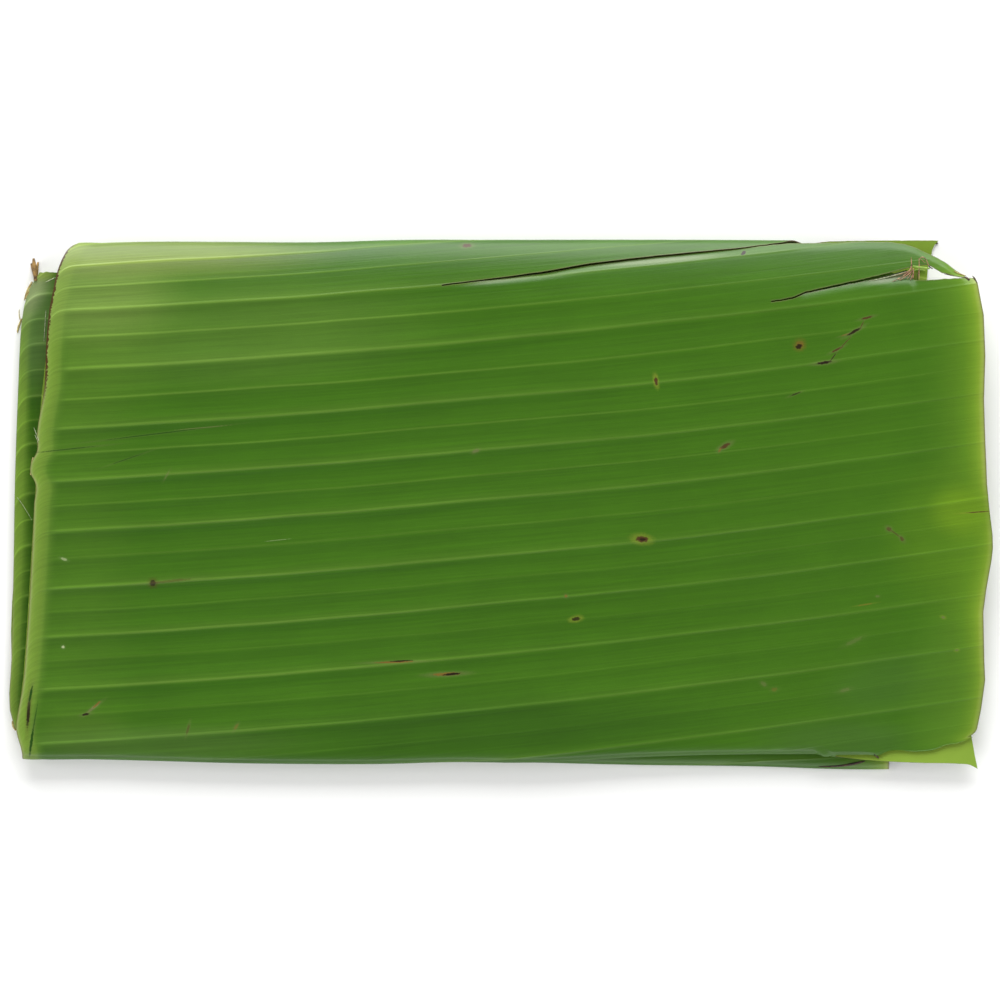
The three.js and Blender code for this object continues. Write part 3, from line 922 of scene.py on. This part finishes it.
def makeDullSide():
    material, tree, surface = newFinish("dullSide")
    across, along = (pointValue(tree, name) for name in ("across", "along"))
    lines = useGroup(tree, veinLinesAndShade, vein=pointValue(tree, "vein"), across=across)
    colour = ramp(tree, lines["shade"], greens["dull"])
    tone = useGroup(tree, mottle, across=across, along=along, strength=0.2)["tone"]
    tree.links.new(scaled(tree, colour, tone), surface["Base Color"])
    surface["Roughness"].default_value = 0.62
    surface["Specular IOR Level"].default_value = 0.3
    addBump(tree, surface, lines["fine"], 0.5)
    return material


def makeTornEdge():
    # the thin rim: pale where it was cut, brown along the natural margin and the tears
    material, tree, surface = newFinish("tornEdge")
    specks = specksAt(tree, addNode(tree, "ShaderNodeTexCoord").outputs["Object"], 900.0, 3.0)
    paleStops = [(0.3, browns["orange"]), (0.45, seen(140, 152, 84)), (0.7, seen(176, 190, 120))]
    fresh = ramp(tree, specks, paleStops)
    dried = ramp(tree, specks, [(0.35, seen(58, 46, 30)), (0.65, seen(112, 98, 58))])
    atCut = remap(tree, pointValue(tree, "cut"), 0.3, 1.2, 1, 0)
    back = remap(tree, pointValue(tree, "along"), 28, 40, 1, 0.25)
    colour = blendColour(tree, calc(tree, "MULTIPLY", atCut, back), dried, fresh)
    tree.links.new(colour, surface["Base Color"])
    surface["Roughness"].default_value = 0.7
    return material


finishes = (makeGlossySide(), makeDullSide(), makeTornEdge())
print("finishes made")


bladeBody = {
    "thickness": 0.38,
    "midribThickness": 0.95,  # the pale band beside the cut is the thickest part
    "midribBand": (1.5, 7.0),
    "marginThickness": 0.22,
    "veinRelief": 0.2,  # ridges at the veins: steep on the front side, gentle behind
    "weakRelief": 0.13,
    "steepShare": 0.35,
}


def veinRise(vein, x, cut):
    # height of the corrugated blade, highest at each vein
    below = (-2 * vein) % 1
    steep = bladeBody["steepShare"]
    down = 0.5 + 0.5 * np.cos(np.pi * np.clip(below / steep, 0, 1))
    up = 0.5 - 0.5 * np.cos(np.pi * np.clip((below - steep) / (1 - steep), 0, 1))
    above, under = np.ceil(2 * vein) % 2, np.floor(2 * vein) % 2  # 1 where that vein is a weak one
    sizes = [mix(bladeBody["veinRelief"], bladeBody["weakRelief"], weak) for weak in (above, under)]
    rise = np.where(below < steep, down * sizes[0], up * sizes[1])
    return rise * mix(1, 0.25, smoothStep(-60, 140, x)) * smoothStep(2, 8, cut)


def bendAtTears(x, place, z):
    # the torn lips turn down into the gaps, and the sheet below the short tear bends away
    lip = longLower(x)
    near = np.clip(1 - (lip - place) / 1.8, 0, 1) * (place < longMiddle(x))
    z = z - tears["lipDip"] * near**1.5 * smoothStep(-18, 5, x)
    xs, ys = np.array(tears["crease"]).T
    past = np.clip(place - alongTop(np.interp(x, xs, ys), spineOpen(x)), 0, 5)
    bent = (x > 90) & (x < 126.2) & (place < (shortLower(x) + shortUpper(x)) / 2)
    return z - tears["bendDip"] * past * bent


def addPointValues(mesh, **values):
    for name, numbers in values.items():
        layer = mesh.attributes.new(name, "FLOAT", "POINT")
        layer.data.foreach_set("value", np.ravel(numbers).astype(np.float32))


def selectOnly(thing):
    bpy.ops.object.select_all(action="DESELECT")
    thing.select_set(True)
    bpy.context.view_layer.objects.active = thing


def makeBlade():
    x, place = layOutBlade()
    rows, columns = x.shape
    bpy.ops.object.select_all(action="DESELECT")
    bpy.ops.mesh.primitive_grid_add(x_subdivisions=columns - 1, y_subdivisions=rows - 1, size=1)
    blade = bpy.context.active_object
    blade.name = "foldedBlade"
    mesh = blade.data

    # the flat grid's own places tell each vertex's row and column
    flat = np.empty(len(mesh.vertices) * 3)
    mesh.vertices.foreach_get("co", flat)
    flat = flat.reshape(-1, 3)
    column = np.rint((flat[:, 0] + 0.5) * (columns - 1)).astype(int)
    row = np.rint((flat[:, 1] + 0.5) * (rows - 1)).astype(int)
    x, place = x[row, column], place[row, column]
    cut, margin = x - cutOutline(place), marginOutline(place) - x

    y, z = foldBlade(x, place)
    z = bendAtTears(x, place, z)
    onBottom = (place > crownEnd - 9) & (place < lowerFrontStart(x) + 1)
    z += 0.3 * onBottom * smoothStep(8, 2, cut)
    vein = veinNumber(x, place, cut)
    ribbed = smoothStep(0, 6, place - topFrontY(x)) * smoothStep(crownStart + 12, crownStart, place)
    z += ribbed * veinRise(vein, x, cut)
    places = np.stack([x, y, z], 1) * mm
    mesh.vertices.foreach_set("co", places.ravel())
    torn = np.minimum(np.abs(place - longLower(x)), np.abs(place - longUpper(x)))
    torn = np.where(x > tears["longStartX"], torn, 9)
    short = np.minimum(np.abs(place - shortLower(x)), np.abs(place - shortUpper(x)))
    torn = np.minimum(torn, np.where(x > tears["shortStartX"], short, 9))
    addPointValues(mesh, across=x, along=place, vein=vein, cut=cut, margin=margin, torn=torn)

    # cells inside the tears go
    selectOnly(blade)
    bpy.ops.object.mode_set(mode="EDIT")
    bpy.ops.mesh.select_all(action="DESELECT")
    bpy.ops.mesh.select_mode(type="FACE")
    bpy.ops.object.mode_set(mode="OBJECT")
    for face in mesh.polygons:
        corners = list(face.vertices)
        step = rowSteps[min(row[corners])]
        face.select = step[2] is not None and step[1] == 0 and min(x[corners]) > step[2]
    bpy.ops.object.mode_set(mode="EDIT")
    bpy.ops.mesh.delete(type="FACE")
    bpy.ops.object.mode_set(mode="OBJECT")

    thick = blade.vertex_groups.new(name="thickness")
    full = bladeBody["midribThickness"]
    band = bladeBody["midribBand"]
    cutNow, marginNow = (np.empty(len(mesh.vertices), np.float32) for _ in range(2))
    mesh.attributes["cut"].data.foreach_get("value", cutNow)
    mesh.attributes["margin"].data.foreach_get("value", marginNow)
    share = mix(full, bladeBody["thickness"], smoothStep(*band, cutNow))
    share = mix(bladeBody["marginThickness"], share, smoothStep(0, 6, marginNow)) / full
    for index, weight in enumerate(share):
        thick.add([index], float(weight), "REPLACE")

    for finish in finishes:
        mesh.materials.append(finish)
    body = blade.modifiers.new("body", "SOLIDIFY")
    body.thickness = full * mm
    body.offset = 0
    body.vertex_group = "thickness"
    body.thickness_vertex_group = 0
    body.material_offset = 1
    body.material_offset_rim = 2
    bpy.ops.object.modifier_apply(modifier="body")
    bpy.ops.object.shade_smooth_by_angle(angle=math.radians(50))
    return blade


blade = makeBlade()
print("blade folded:", len(blade.data.polygons), "faces")
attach(blade, "root")
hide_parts("banana_leaf")


# dry shreds and fibres left at the torn ends
shreds = {
    "sides": 3,  # roundness of a fibre
    "sag": 0.8,  # how far a fibre may hang into a gap
    "bridging": ("brown", "green"),  # kinds that keep their height over a gap
    # each is a row of [x, y, height above the blade] with its radius at each
    "stub": [
        [
            [-142.9, 68.6, 0.3, 0.5], [-143.0, 71.0, 0.6, 0.62], [-143.3, 73.4, 0.7, 0.85],
            [-143.5, 75.4, 0.6, 0.3],
        ],
        [[-143.1, 69.4, 0.4, 0.4], [-143.6, 71.8, 0.6, 0.6], [-144.3, 73.9, 0.4, 0.3]],
        [[-142.8, 69.4, 0.4, 0.4], [-142.6, 72.0, 0.5, 0.55], [-142.2, 74.3, 0.4, 0.25]],
    ],
    "tan": [
        [
            [-144.0, 68.3, 0.2, 0.2], [-145.0, 66.6, 0.2, 0.42], [-145.9, 64.8, 0.1, 0.4],
            [-146.4, 62.6, 0.1, 0.15],
        ],
        [[-144.3, 66.9, 0.2, 0.15], [-145.3, 64.4, 0.3, 0.35], [-146.0, 62.9, 0.2, 0.12]],
        [
            [-147.2, 57.0, 0.2, 0.15], [-148.0, 55.2, 0.2, 0.4], [-148.7, 53.3, 0.1, 0.38],
            [-148.4, 52.6, 0.1, 0.15],
        ],
        [[-147.6, 56.2, 0.1, 0.1], [-148.2, 58.0, 0.2, 0.16], [-148.0, 59.8, 0.1, 0.08]],
        [[-149.9, -66.4, 0.2, 0.3], [-150.2, -67.8, 0.2, 0.45], [-149.0, -69.2, 0.2, 0.25]],
        [[-143.6, 14.4, 0.1, 0.2], [-144.4, 11.5, 0.1, 0.34], [-144.3, 9.0, 0.1, 0.2]],
        [[138.2, 71.4, 0.2, 0.12], [140.4, 70.3, 0.3, 0.24], [141.9, 70.0, 0.3, 0.1]],
    ],
    "dark": [
        [
            [97.0, -80.3, 0.05, 0.12], [101.0, -80.3, 0.05, 0.3], [105.3, -80.0, 0.05, 0.26],
            [108.9, -79.2, 0.05, 0.5], [111.2, -78.6, 0.05, 0.15],
        ],
        [[113.9, -76.6, 0.1, 0.12], [114.9, -77.0, 0.1, 0.4], [115.3, -77.7, 0.1, 0.15]],
        [[141.5, 69.6, 0.2, 0.15], [142.2, 69.3, 0.3, 0.45], [142.9, 68.7, 0.2, 0.3]],
        [[143.9, 69.9, 0.1, 0.1], [144.5, 69.3, 0.2, 0.3], [145.3, 67.8, 0.1, 0.1]],
        [[132.9, 79.9, 0.05, 0.15], [133.6, 80.2, 0.05, 0.35]],
        [[135.2, 70.6, 0.1, 0.1], [136.6, 70.3, 0.2, 0.25], [137.9, 70.0, 0.1, 0.12]],
        [[130.4, 73.2, 0.2, 0.1], [130.9, 72.4, 0.3, 0.3], [131.8, 72.1, 0.2, 0.1]],
    ],
    "brown": [
        [
            [125.1, 75.6, 0.6, 0.08], [125.2, 74.0, 0.6, 0.16], [125.4, 72.6, 0.5, 0.2],
            [124.2, 70.9, 0.4, 0.18], [121.8, 69.1, 0.3, 0.14], [119.4, 68.2, 0.2, 0.07],
        ],
        [
            [125.9, 72.2, 0.7, 0.15], [125.2, 71.0, 0.6, 0.17], [123.3, 70.2, 0.5, 0.15],
            [121.0, 69.0, 0.3, 0.08],
        ],
        [[125.7, 72.0, 0.8, 0.2], [125.9, 70.6, 0.6, 0.22], [125.6, 69.0, 0.4, 0.12]],
        [[125.6, 71.6, 0.7, 0.14], [124.9, 70.3, 0.6, 0.15], [124.0, 69.0, 0.3, 0.07]],
        [
            [127.5, 75.4, 0.9, 0.08], [127.7, 73.2, 0.9, 0.17], [127.4, 71.0, 0.9, 0.17],
            [127.6, 68.9, 0.4, 0.1],
        ],
        [
            [127.6, 74.9, 0.9, 0.08], [128.2, 75.9, 1.0, 0.15], [129.3, 75.6, 1.0, 0.15],
            [130.1, 74.2, 0.9, 0.16], [130.5, 72.9, 0.7, 0.1],
        ],
        [[128.0, 75.3, 0.9, 0.06], [128.6, 74.4, 1.0, 0.12], [129.5, 73.9, 0.9, 0.06]],
        [
            [125.5, 72.4, 0.5, 0.12], [124.6, 71.2, 0.5, 0.16], [122.6, 70.5, 0.4, 0.14],
            [118.2, 69.6, 0.2, 0.07],
        ],
        [[125.4, 71.4, 0.6, 0.14], [123.8, 69.8, 0.5, 0.15], [121.6, 68.6, 0.3, 0.08]],
        [[125.8, 71.0, 0.6, 0.15], [125.3, 69.6, 0.5, 0.17], [124.8, 68.6, 0.3, 0.08]],
    ],
    "pale": [
        [
            [-149.4, 3.0, 0.2, 0.05], [-148.0, 1.9, 0.5, 0.09], [-146.0, -1.2, 0.8, 0.09],
            [-144.0, -4.8, 0.7, 0.04],
        ],
        [[-143.2, 23.6, 0.3, 0.05], [-142.5, 21.8, 0.5, 0.14], [-141.6, 19.4, 0.3, 0.07]],
        [[-142.9, 21.2, 0.3, 0.05], [-142.3, 20.4, 0.4, 0.12], [-141.9, 18.8, 0.3, 0.05]],
        [[-139.7, 59.6, 0.1, 0.06], [-140.0, 55.0, 0.1, 0.14], [-140.3, 50.0, 0.1, 0.06]],
        # a pale strand along the inner sheet's curled end: painted sheen
        [[-139.8, 68.1, 0.0, 0.08], [-138.2, 68.9, 0.0, 0.16], [-136.8, 69.5, 0.0, 0.1]],
        [
            [124.6, 71.5, 0.3, 0.05], [121.0, 70.4, 0.3, 0.16], [116.0, 68.9, 0.2, 0.14],
            [112.0, 68.3, 0.1, 0.05],
        ],
    ],
    "green": [
        [
            [125.6, 72.9, 0.5, 0.2], [127.4, 72.4, 0.6, 0.5], [129.6, 72.3, 0.6, 0.55],
            [130.8, 72.2, 0.4, 0.2],
        ],
        [[126.0, 71.7, 0.4, 0.1], [127.8, 72.0, 0.5, 0.3], [129.6, 71.7, 0.4, 0.15]],
    ],
}
shredTones = {  # darker and lighter colour, and the size of the specks
    "stub": (display(74, 52, 26), display(172, 136, 74), 700.0),
    "tan": (display(128, 104, 52), display(196, 184, 122), 900.0),
    "dark": (display(38, 28, 24), display(84, 62, 46), 900.0),
    "brown": (display(94, 62, 46), display(176, 136, 104), 1200.0),
    "pale": (display(122, 130, 98), display(190, 198, 164), 1200.0),
    "green": (display(92, 128, 40), display(150, 174, 76), 700.0),
}


def heightsAlong(row, sag):
    # how high the blade lies under each point of a fibre, and over a gap little lower than beside it
    found = []
    for x, y, _, _ in row:
        hit, place, _, _ = blade.ray_cast(Vector((x, y, 50)) * mm, Vector((0, 0, -1)))
        found.append(place.z / mm if hit else 0)
    return [max(z, max(found) - sag) for z in found]


def makeShredFinish(kind):
    darker, lighter, size = shredTones[kind]
    material, tree, surface = newFinish(kind + "Shred")
    specks = specksAt(tree, addNode(tree, "ShaderNodeTexCoord").outputs["Object"], size, 4.0)
    tree.links.new(ramp(tree, specks, [(0.35, darker), (0.65, lighter)]), surface["Base Color"])
    addBump(tree, surface, specks, 0.7, 0.0003)
    surface["Roughness"].default_value = 0.75
    return material


def makeShreds(kind):
    # every fibre is a tapered curve made into a mesh, and those of one kind are joined
    made = []
    for row in shreds[kind]:
        selectOnly(blade)
        bpy.ops.curve.primitive_nurbs_path_add()
        strand = bpy.context.active_object
        line = strand.data
        line.splines.clear()
        spline = line.splines.new("NURBS")
        spline.points.add(len(row) - 1)
        heights = heightsAlong(row, 0 if kind in shreds["bridging"] else shreds["sag"])
        for point, z, (x, y, above, radius) in zip(spline.points, heights, row):
            point.co = (x * mm, y * mm, (z + above) * mm, 1)
            point.radius = radius
        spline.order_u = min(4, len(row))
        spline.use_endpoint_u = True
        line.resolution_u = 5
        line.bevel_depth = mm
        line.bevel_resolution = shreds["sides"] - 1
        line.use_fill_caps = True
        selectOnly(strand)
        bpy.ops.object.convert(target="MESH")
        made.append(bpy.context.active_object)
    bpy.ops.object.select_all(action="DESELECT")
    for strand in made:
        strand.select_set(True)
    bpy.context.view_layer.objects.active = made[0]
    bpy.ops.object.join()
    piece = bpy.context.active_object
    piece.name = kind + "Shreds"
    piece.data.materials.clear()
    piece.data.materials.append(makeShredFinish(kind))
    bpy.ops.object.mode_set(mode="EDIT")
    bpy.ops.mesh.select_all(action="SELECT")
    bpy.ops.mesh.remove_doubles(threshold=1e-7)
    bpy.ops.mesh.normals_make_consistent(inside=False)
    bpy.ops.object.mode_set(mode="OBJECT")
    bpy.ops.object.shade_smooth_by_angle(angle=math.radians(60))
    return piece


for kind in shredTones:
    shred = makeShreds(kind)
    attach(shred, "root")
print("shreds and fibres laid on")


studio = {
    "floorSize": 4,
    "floorColour": (0.92, 0.92, 0.91, 1),
    # name: turn about the leaf from +y, degrees from overhead, distance, size, power
    "lights": {
        "backLight": (0, 64, 1.6, 1.55, 50),
        "frontLight": (180, 58, 1.6, 1.3, 16.5),
        "leftLight": (90, 58, 1.6, 1.2, 10.3),
        "rightLight": (-90, 58, 1.6, 1.2, 10.3),
    },
    "surround": 0.12,
    "cameraDistance": 5.0,
    "frameWidth": 0.306,
    "lookAt": (-0.61, 1.38, 9.0),
}
bpy.ops.object.select_all(action="DESELECT")
bpy.ops.mesh.primitive_plane_add(size=studio["floorSize"])
floor = bpy.context.active_object
floor.name = "paleFloor"
floorPaint, _, paper = newFinish("palePaper")
paper["Base Color"].default_value = studio["floorColour"]
paper["Roughness"].default_value = 0.9
floor.data.materials.append(floorPaint)

for name, (turn, tilt, distance, size, power) in studio["lights"].items():
    bpy.ops.object.light_add(type="AREA")
    light = bpy.context.active_object
    light.name = name
    light.data.size = size
    light.data.energy = power
    turn, tilt = math.radians(turn), math.radians(tilt)
    out = Vector((-math.sin(turn) * math.sin(tilt), math.cos(turn) * math.sin(tilt), math.cos(tilt)))
    light.location = out * distance
    light.rotation_euler = out.to_track_quat("Z", "Y").to_euler()

world = bpy.data.worlds.new("studioAir")
bpy.context.scene.world = world
world.use_nodes = True
world.node_tree.nodes["Background"].inputs["Color"].default_value = (1, 1, 1, 1)
world.node_tree.nodes["Background"].inputs["Strength"].default_value = studio["surround"]

bpy.ops.object.camera_add()
camera = bpy.context.active_object
camera.location = Vector(studio["lookAt"]) * mm + Vector((0, 0, studio["cameraDistance"]))
camera.rotation_euler = (0, 0, 0)
camera.data.sensor_width = 36
camera.data.lens = 36 * studio["cameraDistance"] / studio["frameWidth"]
camera.data.clip_end = 20
bpy.context.scene.camera = camera
bpy.context.scene.view_settings.view_transform = "Standard"
print("floor, light and camera set")
